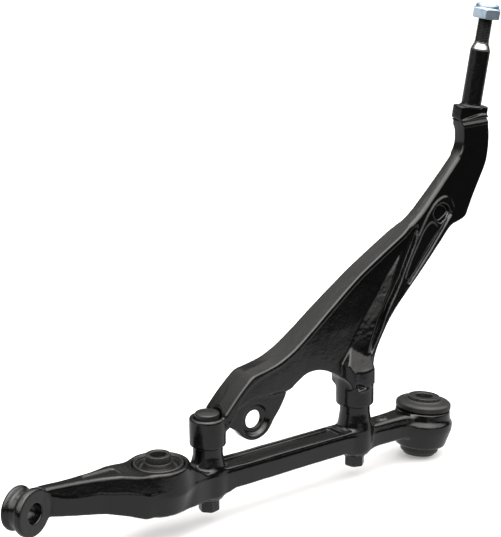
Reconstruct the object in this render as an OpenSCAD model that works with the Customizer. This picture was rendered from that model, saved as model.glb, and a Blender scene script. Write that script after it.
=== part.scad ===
// Front lower control arm: a forged lower link with a bolted-on radius arm.
// Origin: centre of the inner pivot bush. +X towards the inner pivot from the
// ball joint, +Z along the fork bush and the two clamping bolts, +Y across.

/* [Lower link] */
// Distance from the inner pivot to the damper-fork bush
fork_x = 261; // [256:1:266]
// Distance from the inner pivot to the centre of the ball-joint eye
eye_x = 375; // [370:1:380]
// Radius of the ball-joint hole
eye_hole_r = 7.5; // [6:0.5:9]
// Outer radius of the front disc of the ball-joint eye
eye_r = 18; // [16:0.5:19]
// Half width of the link's beam at its parting line
beam_w = 12.5; // [12:0.5:14]

/* [Bolted joint] */
// Distance from the inner pivot to the left bolt
left_x = 216; // [213:1:218]
// Distance from the inner pivot to the right bolt
right_x = 72; // [70:1:74]
// Radius of the bolt shank
bolt_r = 5; // [4:0.5:5.5]
// Width across flats of the bolt heads
bolt_af = 14; // [13:0.5:16]
// Height of the face where the radius arm sits on the link
seat_z = 36; // [35:0.5:37]

/* [Bushes] */
// Radius of the bore in the fork bush's inner sleeve
fork_bore_r = 6.1; // [5:0.1:6.5]
// Outer radius of the fork bush's inner sleeve
fork_sleeve_r = 9.5; // [9:0.5:11]
// Radius of the bore in the pivot bush's inner sleeve
pivot_bore_r = 7.1; // [6:0.1:8]
// Outer radius of the pivot bush's inner sleeve
pivot_sleeve_r = 13; // [12:0.5:13.5]
// Tilt of the inner pivot from the bolt axes, in degrees
pivot_tilt = 6; // [4:1:8]
// Gap between each inner sleeve and its rubber
run_gap = 0.05; // [0.03:0.01:0.08]

/* [Radius arm] */
// Half thickness of the arm's web
web_t = 5.5; // [5:0.5:6.5]
// Half thickness of the stabiliser lug
lug_t = 4.5; // [4:0.5:5]
// Radius of the hole in the stabiliser lug
lug_hole_r = 7.2; // [6:0.1:8]
// Radius of the stud's plain shaft
stud_r = 8; // [7:0.5:9]
// Radius of the stud's thread
thread_r = 5.9; // [5:0.1:6.2]
// Width across flats of the stud nut
nut_af = 21; // [19:1:22]

/* [Hidden] */
$fn = 96;

black = [0.05, 0.05, 0.055];
rubber = [0.09, 0.09, 0.09];
steel = [0.35, 0.35, 0.37];
zinc = [0.75, 0.80, 0.85];

eye_z = 26;            // height of the ball-joint eye
fork_bot = -3;         // bottom and top of the fork boss
fork_top = 32.5;
fork_outer_r = 19;     // outer sleeve of the fork bush
pivot_outer_r = 18;    // outer sleeve of the pivot bush
stud_base = [48, 0, 260];
stud_turn = [4, 7.5, 0]; // the stud leans forwards and inwards
lug = [-174, 46];      // centre of the stabiliser lug
nut_w = 70.5;          // underside of the nut, up the stud from the collar

// Turns a shape drawn in X and Z into a slab that is y0..y1 thick.
module slab(y0, y1) { translate([0, y1, 0]) rotate([90, 0, 0]) linear_extrude(height = y1 - y0) children(); }
// The frame of the ball-joint eye: its axis is local Z, out of the front disc.
module at_eye() { translate([-eye_x, 0, eye_z]) rotate([92, 0, 20]) children(); }
module at_fork() { translate([-fork_x, 0, 0]) children(); }
module at_pivot() { rotate([0, pivot_tilt, 0]) children(); }
module at_stud() { translate(stud_base) rotate(stud_turn) children(); }

/* ---- lower link ---- */

// Side outline of the link, X and Z.
module link_side() {
    polygon([[-378, 17], [-359, 17], [-335, 12], [-312, 8], [-296, 3.5], [-284, -1], [-240, -3],
             [-228, -3.5], [-204, -3], [-198, -0.8], [-90, -0.8], [-84, -5], [-62, -5], [-57, -4], [-20, -4.5],
             [-8, -6], [8, -2], [8, 14], [-12, 16.5], [-30, 15.5], [-50, 15.5], [-84, 16.5], [-190, 17.3], [-228, 19],
             [-240, 30], [-285, 33.5], [-300, 36], [-335, 38], [-358, 39.5], [-378, 39.5]]);
}

// Plan outline of the link, X and Y.
module link_plan() {
    polygon([[-378, -5], [-358, -6], [-335, -7.5], [-315, -10.5], [-300, -16], [-285, -21], [-240, -19], [-228, -15.5],
             [-204, -beam_w], [-92, -beam_w], [-70, -12.5], [-52, -10], [-30, -10.5], [-8, -16], [4, -14],
             [4, 14], [-8, 16], [-30, 10.5], [-52, 10], [-70, 12.5], [-92, beam_w], [-204, beam_w],
             [-228, 15.5], [-240, 19], [-285, 21], [-300, 16], [-315, 10.5], [-335, 7.5], [-358, 6], [-378, 5]]);
}

// Drafted cross-section of the forging, swept along X.
module link_draft() {
    translate([-400, 0, 0]) rotate([90, 0, 90])
    linear_extrude(height = 420)
        polygon([[-21, -8], [-25, 12], [-23, 42], [23, 42], [25, 12], [21, -8]]);
}

module eye_spool() {
    at_eye() rotate_extrude()
        polygon([[0, -8], [15.5, -8], [16.5, -7], [16.5, -4.8], [14, -2.8], [14, 2.4], [eye_r, 5],
                 [eye_r, 9.6], [eye_r - 1, 10.6], [0, 10.6]]);
}

module pedestal(x, r) {
    translate([-x, 0, 0]) rotate_extrude()
        polygon([[0, -7], [11, -7], [13, -3], [r, 12], [r, 17], [r - 1.8, 22], [r - 2.8, 29], [r - 2.8, seat_z], [0, seat_z]]);
}

module pivot_boss() {
    at_pivot() rotate_extrude()
        polygon([[0, -16.4], [20, -16.4], [25, 0], [25, 5], [22.8, 8], [22, 14], [0, 14]]);
}

module lower_link() color(black) difference() {
    union() {
        difference() {
            intersection() {
                slab(-30, 30) link_side();
                translate([0, 0, -20]) linear_extrude(height = 80) link_plan();
                link_draft();
            }
            // the beam stays behind the eye's front face and under the pivot bush's flange
            at_eye() translate([0, 0, 10.4]) cylinder(r = eye_r + 0.5, h = 12);
            at_pivot() translate([0, 0, 14]) cylinder(r = 23.6, h = 20);
            // channel in the top face
            translate([-197, 5.5 - beam_w, 14.4]) cube([108, 2 * beam_w - 8, 12]);
            // channel in the bottom face
            translate([-197, 3.5 - beam_w, -12]) cube([108, 2 * beam_w - 7, 15]);
            // shallow pocket on top, between the eye and the fork boss
            translate([-322, -5.5, 35.2]) cube([32, 11, 6]);
        }
        eye_spool();
        at_fork() rotate_extrude()
            polygon([[0, fork_bot], [21.5, fork_bot], [25, 12], [24.2, fork_top - 1], [23.2, fork_top], [0, fork_top]]);
        pedestal(left_x, 14);
        pedestal(right_x, 14.6);
        pivot_boss();
        // small oval pad on the neck
        translate([-45, -3, 13]) cylinder(r = 4, h = 3.4);
    }
    at_eye() cylinder(r = eye_hole_r, h = 60, center = true);
    at_fork() translate([0, 0, -30]) cylinder(r = fork_outer_r, h = 90);
    // the groove round the top of the fork bush
    at_fork() translate([0, 0, fork_top - 1.2]) cylinder(r = fork_outer_r + 0.9, h = 5);
    at_pivot() translate([0, 0, -60]) cylinder(r = pivot_outer_r, h = 120);
    for (x = [left_x, right_x]) translate([-x, 0, -30]) cylinder(r = bolt_r + 0.25, h = 90);
}

/* ---- radius arm ---- */

// Outline of the arm's body, X and Z, without its bosses and lug.
module arm_outline() {
    polygon([[-210, 59], [-204, 66], [-199, 72], [-192, 78], [-182, 84], [-175, 86.5], [-166, 88.5], [-156, 90],
             [-143, 96], [-130, 105], [-109, 120], [-90, 133.5], [-73, 145], [-49, 158.5], [-28, 170],
             [-11, 180.5], [2, 193], [14, 204.5], [25, 215.5], [33.5, 224.5], [36, 231], [36.2, 240],
             [34, 247], [33, 251], [61, 246], [63, 238], [63.3, 231], [62, 218], [60, 211.5], [54, 200],
             [46, 185], [38.5, 170.5], [31, 168.5], [24, 168], [19, 166], [11.5, 156.5], [-8, 137], [-26, 120],
             [-42, 104], [-54, 85], [-59, 73], [-60, 62], [-60, 50], [-84, 50], [-86, 58], [-97, 65.5],
             [-104, 70], [-113, 73], [-124, 73.2], [-134, 68.5], [-143, 63], [-164, 64], [-174, 66],
             [-186, 62.5], [-198, 56.5], [-205, 50]]);
}

// Thickness of the arm in plan, X and Y: wide at the left boss, thin at the stud.
module arm_plan() {
    polygon([[-216, -13.4], [-132, -11.6], [-75, -9.2], [-20, -9], [12, -8], [30, -7.4], [70, -7.4],
             [70, 7.4], [30, 7.4], [12, 8], [-20, 9], [-75, 9.2], [-132, 11.6], [-216, 13.4]]);
}

// The recess between the flanges, X and Z.
module arm_recess() {
    polygon([[-199, 59], [-195, 66.5], [-190, 72.5], [-181, 79.5], [-165, 84.6], [-155, 86], [-141, 92], [-128, 101],
             [-107, 116], [-88, 129.5], [-71, 141], [-47, 154.5], [-26, 166], [-9, 176.5], [1, 186.5],
             [7, 191], [13, 191.5], [18, 188], [21.5, 180], [20.5, 173], [15, 167], [6.5, 157], [-11, 138.5], [-29, 121.5],
             [-45, 105.5], [-57, 87], [-62, 75], [-64, 66], [-84, 60], [-97, 58], [-134, 58], [-141, 59.5],
             [-162, 63.5], [-172, 65], [-184, 61.5], [-197, 55.5]]);
}

// Lug outline: a round eye that runs up into the web.
module lug_outline() {
    translate(lug) circle(r = 16);
    polygon([[-202, 46], [-199, 62], [-174, 74], [-146, 72], [-143, 62], [-150, 50], [-161.5, 36], [-165, 33],
             [-176, 38], [-188, 38.5], [-194, 43]]);
}

// Collar and stud, along the stud's own axis.
module stud() {
    at_stud() {
        intersection() {
            translate([0, 0, -11]) cylinder(r = 15.2, h = 11);
            translate([-20, -6, -12]) cube([40, 12, 20]);
        }
        rotate_extrude()
            polygon([[0, -18], [5.5, -18], [5.5, -2], [stud_r + 1.2, -1], [stud_r + 1.2, 0], [stud_r, 1.5], [stud_r, 45.5],
                     [thread_r, 50], [thread_r, 79.4], [thread_r - 0.9, 80.4], [0, 80.4]]);
    }
}

module arm_boss(x, r, top) {
    translate([-x, 0, 0]) rotate_extrude()
        polygon([[0, seat_z], [r - 0.8, seat_z], [r, seat_z + 0.8], [r, top - 1], [r - 1, top], [0, top]]);
}

module buttress() {
    intersection() {
        slab(-16, 0) polygon([[-87, 50], [-88, 60], [-79, 88], [-61, 88], [-59, 60], [-58, 50]]);
        union() {
            translate([-110, -14.4, 66]) rotate([-25, 0, 0]) cube([80, 30, 60]);
            translate([-110, -14.4, 50]) cube([80, 30, 16.1]);
        }
        translate([-right_x, 0, 0]) cylinder(r = 16.6, h = 120);
    }
}

module radius_arm() color(black) difference() {
    union() {
        difference() {
            intersection() {
                slab(-30, 30) arm_outline();
                translate([0, 0, 20]) linear_extrude(height = 260) arm_plan();
            }
            // deep in the web, shallow beside the lug
            for (side = [0, 1]) mirror([0, side, 0]) {
                slab(-30, -web_t) intersection() { arm_recess(); translate([-150, 40]) square([300, 240]); }
                slab(-30, -web_t - 3.6) arm_recess();
            }
        }
        // a wedge on each side carries the right boss up into the web
        for (side = [0, 1]) mirror([0, side, 0]) buttress();
        slab(-lug_t, lug_t) lug_outline();
        arm_boss(left_x, 13.7, 58);
        arm_boss(right_x, 15, 66);
        stud();
    }
    // bolt holes; the left one ends in the plug's seat
    translate([-left_x, 0, seat_z - 5]) cylinder(r = bolt_r + 0.05, h = 40);
    translate([-left_x, 0, 52]) cylinder(r = 9.5, h = 20);
    translate([-left_x, 0, 55.5]) cylinder(r = 10.8, h = 20);
    translate([-right_x, 0, seat_z - 5]) cylinder(r = bolt_r + 0.05, h = 27);
    // stabiliser hole with a dished seat on each side
    translate([lug[0], 0, lug[1]]) rotate([90, 0, 0]) {
        cylinder(r = lug_hole_r, h = 60, center = true);
        translate([0, 0, 1.5]) cylinder(r1 = 9, r2 = 13, h = lug_t - 1.5);
        translate([0, 0, lug_t]) cylinder(r = 13, h = 20);
        mirror([0, 0, 1]) {
            translate([0, 0, 1.5]) cylinder(r1 = 9, r2 = 13, h = lug_t - 1.5);
            translate([0, 0, lug_t]) cylinder(r = 13, h = 20);
        }
    }
}

module boss_plug() color(black) translate([-left_x, 0, 0]) intersection() {
    translate([0, 0, 52]) cylinder(r = 9.48, h = 12);
    translate([0, 0, 62.5 - 30]) sphere(r = 30);
}

/* ---- bolts ---- */

module radius_bolt(len) {
    translate([0, 0, -17]) cylinder(r = bolt_af / 2 / cos(30), h = 8.2, $fn = 6);
    translate([0, 0, -8.9]) cylinder(r = 8.4, h = 1.8);
    translate([0, 0, -8]) cylinder(r = bolt_r, h = len);
}
module radius_bolt_left() color(black) translate([-left_x, 0, 0]) rotate([0, 0, 12]) radius_bolt(58);
module radius_bolt_right() color(black) translate([-right_x, 0, 0]) rotate([0, 0, 40]) radius_bolt(62);

/* ---- fork bush ---- */

module fork_bush_outer() color(steel) at_fork() rotate_extrude()
    polygon([[17, -1], [18.98, -1], [18.98, fork_top], [18.4, fork_top + 0.4], [17.4, fork_top + 0.4], [17, fork_top]]);
module fork_bush_rubber() color(rubber) at_fork() rotate_extrude()
    polygon([[fork_sleeve_r + run_gap, 2], [13, -0.5], [16.98, 0], [16.98, 31.5], [14.5, 28], [12, 29.5],
             [10.6, 34], [fork_sleeve_r + run_gap, 34.5]]);
module fork_bush_inner() color(steel) at_fork() difference() {
    translate([0, 0, -4.5]) cylinder(r = fork_sleeve_r, h = 44);
    translate([0, 0, -10]) cylinder(r = fork_bore_r, h = 60);
}

/* ---- pivot bush ---- */

module pivot_bush_outer() color(steel) at_pivot() difference() {
    translate([0, 0, -16]) cylinder(r = pivot_outer_r - 0.02, h = 30);
    translate([0, 0, -20]) cylinder(r = pivot_outer_r - 1.4, h = 60);
}
module pivot_bush_rubber() color(rubber) at_pivot() rotate_extrude()
    polygon([[pivot_sleeve_r + run_gap, -22], [14.6, -22.5], [15.4, -21.5], [15.8, -16.6], [pivot_outer_r - 1.42, -15],
             [pivot_outer_r - 1.42, 14.2], [21.6, 14.2], [22.6, 15.4], [22.6, 19], [21.8, 20], [15, 22.4],
             [pivot_sleeve_r + run_gap, 22.4]]);
module pivot_bush_inner() color(steel) at_pivot() difference() {
    translate([0, 0, -24.5]) cylinder(r = pivot_sleeve_r, h = 49);
    translate([0, 0, -30]) cylinder(r = pivot_bore_r, h = 60);
}

/* ---- stud nut ---- */

module stud_nut() color(zinc) at_stud() translate([0, 0, nut_w]) rotate([0, 0, -16]) difference() {
    union() {
        intersection() {
            cylinder(r = nut_af / 2 / cos(30), h = 8, $fn = 6);
            rotate_extrude()
                polygon([[0, 0], [nut_af / 2 + 0.2, 0], [nut_af / 2 + 1.9, 1], [nut_af / 2 + 1.9, 7], [nut_af / 2 + 0.2, 8], [0, 8]]);
        }
        translate([0, 0, 7]) cylinder(r = 9.2, h = 4);
    }
    translate([0, 0, -5]) cylinder(r = thread_r + 0.05, h = 30);
    translate([0, 0, 7.9]) cylinder(r = 8.2, h = 10);
}
module nut_insert() color([0.9, 0.92, 0.95]) at_stud() translate([0, 0, nut_w]) difference() {
    translate([0, 0, 8]) cylinder(r = 8.14, h = 2.5);
    translate([0, 0, -5]) cylinder(r = thread_r + 0.05, h = 30);
}

lower_link();
radius_arm();
radius_bolt_left();
radius_bolt_right();
boss_plug();
fork_bush_outer();
fork_bush_rubber();
fork_bush_inner();
pivot_bush_outer();
pivot_bush_rubber();
pivot_bush_inner();
stud_nut();
nut_insert();
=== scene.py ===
import bpy
import math
import numpy as np
from mathutils import Matrix, Vector


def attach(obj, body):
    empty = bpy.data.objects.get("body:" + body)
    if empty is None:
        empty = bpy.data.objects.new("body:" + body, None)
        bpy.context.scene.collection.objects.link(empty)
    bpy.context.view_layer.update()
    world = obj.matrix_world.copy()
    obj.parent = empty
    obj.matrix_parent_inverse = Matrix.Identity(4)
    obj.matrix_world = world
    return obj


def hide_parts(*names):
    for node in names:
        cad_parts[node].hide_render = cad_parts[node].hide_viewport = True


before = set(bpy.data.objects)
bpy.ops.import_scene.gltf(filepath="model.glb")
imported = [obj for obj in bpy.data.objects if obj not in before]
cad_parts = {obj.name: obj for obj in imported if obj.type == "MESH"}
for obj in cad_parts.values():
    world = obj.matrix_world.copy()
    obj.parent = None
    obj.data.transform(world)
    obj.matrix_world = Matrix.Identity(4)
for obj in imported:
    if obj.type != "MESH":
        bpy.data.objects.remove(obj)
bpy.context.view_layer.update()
scene = bpy.context.scene
MM = 0.001

# ------------------------------------------------------------------ camera
cam_data = bpy.data.cameras.new("camera")
cam_data.sensor_fit = "AUTO"
cam_data.sensor_width = 36.0
cam_data.lens = 36.0 * 1800.0 / 537.0
cam_data.clip_start, cam_data.clip_end = 0.05, 50.0
cam = bpy.data.objects.new("camera", cam_data)
scene.collection.objects.link(cam)
cam.matrix_world = Matrix((
    (0.7981, 0.1768, -0.5760, -0.9443),
    (-0.6024, 0.2162, -0.7683, -1.0274),
    (-0.0113, 0.9602, 0.2791, 0.5384),
    (0, 0, 0, 1)))
scene.camera = cam
scene.view_settings.view_transform = "Standard"
scene.view_settings.look = "None"

# ------------------------------------------------------------------ curves and outlines

def fillet(pts, r=1.0, closed=True, support=0.06):
    """Rounds the corners of an outline. A point may carry its own radius as a third number."""
    out, n = [], len(pts)
    for i, p in enumerate(pts):
        rad = p[2] if len(p) > 2 else r
        P = np.array(p[:2], float)
        if not closed and i in (0, n - 1):
            out.append(tuple(P))
            continue
        A, B = np.array(pts[i - 1][:2], float), np.array(pts[(i + 1) % n][:2], float)
        a, b = A - P, B - P
        la, lb = np.linalg.norm(a), np.linalg.norm(b)
        if rad <= 0 or la < 1e-6 or lb < 1e-6:
            out.append(tuple(P))
            continue
        a, b = a / la, b / lb
        cosang = float(np.clip(np.dot(a, b), -1, 1))
        turn = math.pi - math.acos(cosang)
        if turn < 0.02:
            out.append(tuple(P))
            continue
        t = min(rad * math.tan(turn / 2), la * 0.46, lb * 0.46)
        steps = max(3, int(math.degrees(turn) / 11) + 1)
        if support:
            out.append(tuple(P + a * (t + min(support, la * 0.03))))
        for k in range(steps + 1):
            s = k / steps
            out.append(tuple((1 - s) ** 2 * (P + a * t) + 2 * s * (1 - s) * P + s * s * (P + b * t)))
        if support:
            out.append(tuple(P + b * (t + min(support, lb * 0.03))))
    return out


def soften(pts, times=2, q=0.25):
    """Cuts the corners of a closed outline, so that it runs smoothly through its sides."""
    for _ in range(times):
        new = []
        for i in range(len(pts)):
            a, b = pts[i], pts[(i + 1) % len(pts)]
            new.append((a[0] + (b[0] - a[0]) * q, a[1] + (b[1] - a[1]) * q))
            new.append((a[0] + (b[0] - a[0]) * (1 - q), a[1] + (b[1] - a[1]) * (1 - q)))
        pts = new
    return pts


def poly_sd(U, V, pts):
    """Signed distance to a closed outline, negative inside."""
    U, V = np.broadcast_arrays(U, V)
    u, v = U.ravel().astype(np.float32), V.ravel().astype(np.float32)
    best = np.full(u.shape, 1e9, np.float32)
    inside = np.zeros(u.shape, bool)
    for i in range(len(pts)):
        ax, ay = pts[i - 1]
        bx, by = pts[i]
        ex, ey = bx - ax, by - ay
        L = ex * ex + ey * ey
        if L < 1e-9:
            continue
        wx, wy = u - ax, v - ay
        t = np.clip((wx * ex + wy * ey) / L, 0, 1)
        dx, dy = wx - ex * t, wy - ey * t
        np.minimum(best, dx * dx + dy * dy, out=best)
        if abs(ey) > 1e-9:
            c = ((ay <= v) & (v < by)) | ((by <= v) & (v < ay))
            inside ^= c & (wx < ex * wy / ey)
    d = np.sqrt(best)
    d[inside] *= -1
    return d.reshape(U.shape)


def line_d(U, V, pts):
    """Distance to an open run of straight pieces, and how far along it the nearest point is (0..1)."""
    U, V = np.broadcast_arrays(U, V)
    best = np.full(U.shape, 1e9, np.float32)
    along = np.zeros(U.shape, np.float32)
    lens = [math.dist(pts[i], pts[i + 1]) for i in range(len(pts) - 1)]
    tot, s0 = sum(lens), 0.0
    for i, L in enumerate(lens):
        (ax, ay), (bx, by) = pts[i], pts[i + 1]
        t = np.clip(((U - ax) * (bx - ax) + (V - ay) * (by - ay)) / (L * L), 0, 1)
        d = np.hypot(U - ax - (bx - ax) * t, V - ay - (by - ay) * t)
        near = d < best
        best = np.where(near, d, best)
        along = np.where(near, (s0 + t * L) / tot, along)
        s0 += L
    return best, along


def smooth01(t):
    t = np.clip(t, 0, 1)
    return t * t * (3 - 2 * t)


def smin(a, b, k):
    h = np.maximum(k - np.abs(a - b), 0) / k
    return np.minimum(a, b) - h * h * k * 0.25


def smax(a, b, k):
    return -smin(-a, -b, k)


def round_and(a, b, r):
    """The shape inside both a and b, with its edge rounded to radius r."""
    qa, qb = a + r, b + r
    return np.minimum(np.maximum(qa, qb), 0) + np.hypot(np.maximum(qa, 0), np.maximum(qb, 0)) - r


# ------------------------------------------------------------------ solid fields and their skin

class Field:
    def __init__(self, lo, hi, h):
        self.h = h
        self.lo = np.array(lo, float)
        self.ax = [np.arange(lo[i], hi[i] + h * 0.5, h).astype(np.float32) for i in range(3)]
        self.d = np.full([len(a) for a in self.ax], 50.0, np.float32)

    def whole(self):
        return self.ax[0][:, None, None], self.ax[1][None, :, None], self.ax[2][None, None, :]

    def block(self, lo, hi):
        sl = []
        for a, l, u in zip(self.ax, lo, hi):
            sl.append(slice(int(np.searchsorted(a, l)), int(np.searchsorted(a, u, "right"))))
        X, Y, Z = self.ax[0][sl[0]], self.ax[1][sl[1]], self.ax[2][sl[2]]
        return tuple(sl), X[:, None, None], Y[None, :, None], Z[None, None, :]

    def add(self, lo, hi, f, k=2.0):
        sl, X, Y, Z = self.block(lo, hi)
        self.d[sl] = smin(self.d[sl], f(X, Y, Z).astype(np.float32), k)

    def cut(self, lo, hi, f, k=1.2):
        sl, X, Y, Z = self.block(lo, hi)
        self.d[sl] = smax(self.d[sl], -f(X, Y, Z).astype(np.float32), k)


def lattice(field, cell, seed):
    """Smooth random hills, about -1..1, with hills cell mm apart."""
    rng = np.random.RandomState(seed)
    dims, idx = [], []
    for a in field.ax:
        t = (a - a[0]) / cell
        i = np.floor(t).astype(int)
        f = smooth01(t - i)
        dims.append(i.max() + 2)
        idx.append((i, f.astype(np.float32)))
    g = rng.uniform(-1, 1, dims).astype(np.float32)
    (i, f) = idx[0]
    g = g[i] * (1 - f)[:, None, None] + g[i + 1] * f[:, None, None]
    (i, f) = idx[1]
    g = g[:, i] * (1 - f)[None, :, None] + g[:, i + 1] * f[None, :, None]
    (i, f) = idx[2]
    return g[:, :, i] * (1 - f)[None, None, :] + g[:, :, i + 1] * f[None, None, :]


def sample(arr, field, P):
    q = (P - field.lo) / field.h
    n = np.array(arr.shape)
    i = np.clip(np.floor(q).astype(int), 0, n - 2)
    f = (q - i).astype(np.float32)
    out = 0
    for a in (0, 1):
        for b in (0, 1):
            for c in (0, 1):
                w = (f[:, 0] if a else 1 - f[:, 0]) * (f[:, 1] if b else 1 - f[:, 1]) * (f[:, 2] if c else 1 - f[:, 2])
                out = out + w * arr[i[:, 0] + a, i[:, 1] + b, i[:, 2] + c]
    return out


def skin(field):
    """Quads over the field's zero surface, moved onto it, with its own normals."""
    d, h = field.d, field.h
    s = d < 0
    count = sum(s[a:a + s.shape[0] - 1, b:b + s.shape[1] - 1, c:c + s.shape[2] - 1].astype(np.uint8)
                for a in (0, 1) for b in (0, 1) for c in (0, 1))
    active = (count > 0) & (count < 8)
    cell = np.argwhere(active)
    acc, num = np.zeros((len(cell), 3)), np.zeros(len(cell))
    corners = [np.array(c) for c in np.ndindex(2, 2, 2)]
    for c0 in corners:
        for axis in range(3):
            if c0[axis]:
                continue
            c1 = c0.copy()
            c1[axis] = 1
            a = d[tuple((cell + c0).T)]
            b = d[tuple((cell + c1).T)]
            cross = (a < 0) != (b < 0)
            t = np.where(cross, a / np.where(cross, a - b, 1), 0)
            p = np.repeat(c0[None].astype(float), len(cell), 0)
            p[:, axis] += t
            acc += p * cross[:, None]
            num += cross
    verts = field.lo + h * (cell + acc / num[:, None])
    vid = np.full(active.shape, -1, np.int64)
    vid[active] = np.arange(len(cell))
    quads = []
    for axis in range(3):
        u, w = (axis + 1) % 3, (axis + 2) % 3
        sl0 = [slice(None)] * 3
        sl1 = [slice(None)] * 3
        sl0[axis], sl1[axis] = slice(0, -1), slice(1, None)
        a, b = s[tuple(sl0)], s[tuple(sl1)]
        e = np.argwhere(a != b)
        keep = (e[:, u] > 0) & (e[:, w] > 0) & (e[:, u] < s.shape[u] - 1) & (e[:, w] < s.shape[w] - 1)
        e = e[keep]
        du, dw = np.zeros(3, int), np.zeros(3, int)
        du[u], dw[w] = 1, 1
        q = np.stack([vid[tuple((e - du - dw).T)], vid[tuple((e - dw).T)], vid[tuple(e.T)], vid[tuple((e - du).T)]], 1)
        flip = ~a[tuple(e.T)]
        q[flip] = q[flip][:, ::-1]
        quads.append(q)
    quads = np.concatenate(quads)
    grads = np.gradient(d, h)
    for _ in range(2):
        val = sample(d, field, verts)
        g = np.stack([sample(x, field, verts) for x in grads], 1)
        g2 = np.maximum((g * g).sum(1), 0.05)
        step = np.clip(val / g2, -0.5 * h, 0.5 * h)
        verts = verts - g * step[:, None]
    g = np.stack([sample(x, field, verts) for x in grads], 1)
    g /= np.maximum(np.linalg.norm(g, axis=1), 1e-6)[:, None]
    return verts, quads, g


def new_mesh(name, verts, faces, normals=None):
    me = bpy.data.meshes.new(name)
    verts = np.asarray(verts, np.float64) * MM
    me.vertices.add(len(verts))
    me.vertices.foreach_set("co", verts.astype(np.float32).ravel())
    faces = np.asarray(faces, np.int32)
    k = faces.shape[1]
    me.loops.add(faces.size)
    me.loops.foreach_set("vertex_index", faces.ravel())
    me.polygons.add(len(faces))
    me.polygons.foreach_set("loop_start", np.arange(0, faces.size, k, dtype=np.int32))
    me.polygons.foreach_set("use_smooth", np.ones(len(faces), bool))
    me.update(calc_edges=True)
    me.validate()
    if normals is not None:
        me.normals_split_custom_set_from_vertices([tuple(x) for x in normals])
    ob = bpy.data.objects.new(name, me)
    scene.collection.objects.link(ob)
    return ob


def clean_parts(verts, quads, normals, keep_min=200):
    """Leaves out loose crumbs of the skin."""
    n = len(verts)
    lab = np.arange(n)
    e = np.concatenate([quads[:, [0, 1]], quads[:, [1, 2]], quads[:, [2, 3]], quads[:, [3, 0]]])
    for _ in range(400):
        m = np.minimum(lab[e[:, 0]], lab[e[:, 1]])
        new = lab.copy()
        np.minimum.at(new, e[:, 0], m)
        np.minimum.at(new, e[:, 1], m)
        new = new[new]
        if (new == lab).all():
            break
        lab = new
    ids, cnt = np.unique(lab, return_counts=True)
    if (cnt < keep_min).any() and len(ids) > 1:
        good = set(ids[cnt >= keep_min])
        ok = np.isin(lab, list(good))
        remap = -np.ones(n, int)
        remap[ok] = np.arange(ok.sum())
        quads = remap[quads[ok[quads].all(1)]]
        verts, normals = verts[ok], normals[ok]
    return verts, quads, normals


def skin_piece(name, field):
    v, q, nrm = skin(field)
    v, q, nrm = clean_parts(v, q, nrm)
    print(f"{name}: {len(v)} points, {len(q)} faces")
    return new_mesh(name, v, q, nrm)


# ------------------------------------------------------------------ turned pieces

def turned(name, prof, place=None, seg=144, wobble=None, angle_open=None):
    """Spins a closed outline of (radius, height) points about the local Z axis."""
    P = np.array([(max(p[0], 0.0), p[1]) for p in prof])
    n = len(P)
    th = np.arange(seg) * 2 * math.pi / seg
    R = P[:, 0][:, None] * np.ones(seg)[None]
    W = P[:, 1][:, None] * np.ones(seg)[None]
    if wobble is not None:
        R, W = wobble(R, W, th[None] * np.ones(n)[:, None])
    V = np.stack([R * np.cos(th)[None], R * np.sin(th)[None], W], 2).reshape(-1, 3)
    idx = np.arange(n * seg).reshape(n, seg)
    a = idx
    b = np.roll(idx, -1, 1)
    c = np.roll(b, -1, 0)
    d = np.roll(idx, -1, 0)
    Q = np.stack([a, b, c, d], 2).reshape(-1, 4)
    area = sum(P[i - 1, 0] * P[i, 1] - P[i, 0] * P[i - 1, 1] for i in range(n))
    if area < 0:
        Q = Q[:, ::-1]
    ax = [i for i in range(n) if P[i, 0] < 1e-6]
    if len(ax) >= 2:
        axset = set(ax)
        row = np.repeat(np.arange(n), seg)
        nxt = (row + 1) % n
        bad = np.array([(r in axset) and (m in axset) for r, m in zip(row, nxt)])
        Q = Q[~bad]
    M = place if place is not None else Matrix.Identity(4)
    A = np.array(M)
    V = V @ A[:3, :3].T + A[:3, 3]
    ob = new_mesh(name, V, Q)
    import bmesh
    bm = bmesh.new()
    bm.from_mesh(ob.data)
    bmesh.ops.remove_doubles(bm, verts=bm.verts, dist=1e-7)
    bmesh.ops.recalc_face_normals(bm, faces=bm.faces)
    bm.to_mesh(ob.data)
    bm.free()
    return ob


def place(loc, rot=(0, 0, 0)):
    """A frame turned by rot degrees about X, then Y, then Z, and moved to loc (mm)."""
    rx, ry, rz = (math.radians(a) for a in rot)
    return Matrix.Translation(loc) @ Matrix.Rotation(rz, 4, "Z") @ Matrix.Rotation(ry, 4, "Y") @ Matrix.Rotation(rx, 4, "X")


def local(M, X, Y, Z):
    """Coordinates of a block of points in the frame M."""
    A = np.array(M.inverted())
    return tuple((A[r, 0] * X + A[r, 1] * Y + A[r, 2] * Z + A[r, 3]).astype(np.float32) for r in range(3))


def spun(M, prof):
    """A solid of revolution in frame M, as a field function. Radius 0 means the axis."""
    pts = [(-60.0, p[1]) if p[0] <= 0 else (p[0], p[1]) for p in prof]
    def f(X, Y, Z):
        u, v, w = local(M, X, Y, Z)
        return poly_sd(np.hypot(u, v), w, pts)
    return f


AT_EYE = place((-375, 0, 26), (92, 0, 20))
AT_FORK = place((-261, 0, 0))
AT_PIVOT = place((0, 0, 0), (0, 6, 0))
AT_STUD = place((48, 0, 260), (4, 7.5, 0))
LEFT_X, RIGHT_X, SEAT = -216.0, -72.0, 36.0

# ------------------------------------------------------------------ materials

def material(name):
    m = bpy.data.materials.new(name)
    m.use_nodes = True
    nt = m.node_tree
    nt.nodes.clear()
    out = nt.nodes.new("ShaderNodeOutputMaterial")
    bs = nt.nodes.new("ShaderNodeBsdfPrincipled")
    nt.links.new(bs.outputs["BSDF"], out.inputs["Surface"])
    tc = nt.nodes.new("ShaderNodeTexCoord")
    return m, nt, bs, tc.outputs["Object"]


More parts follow.
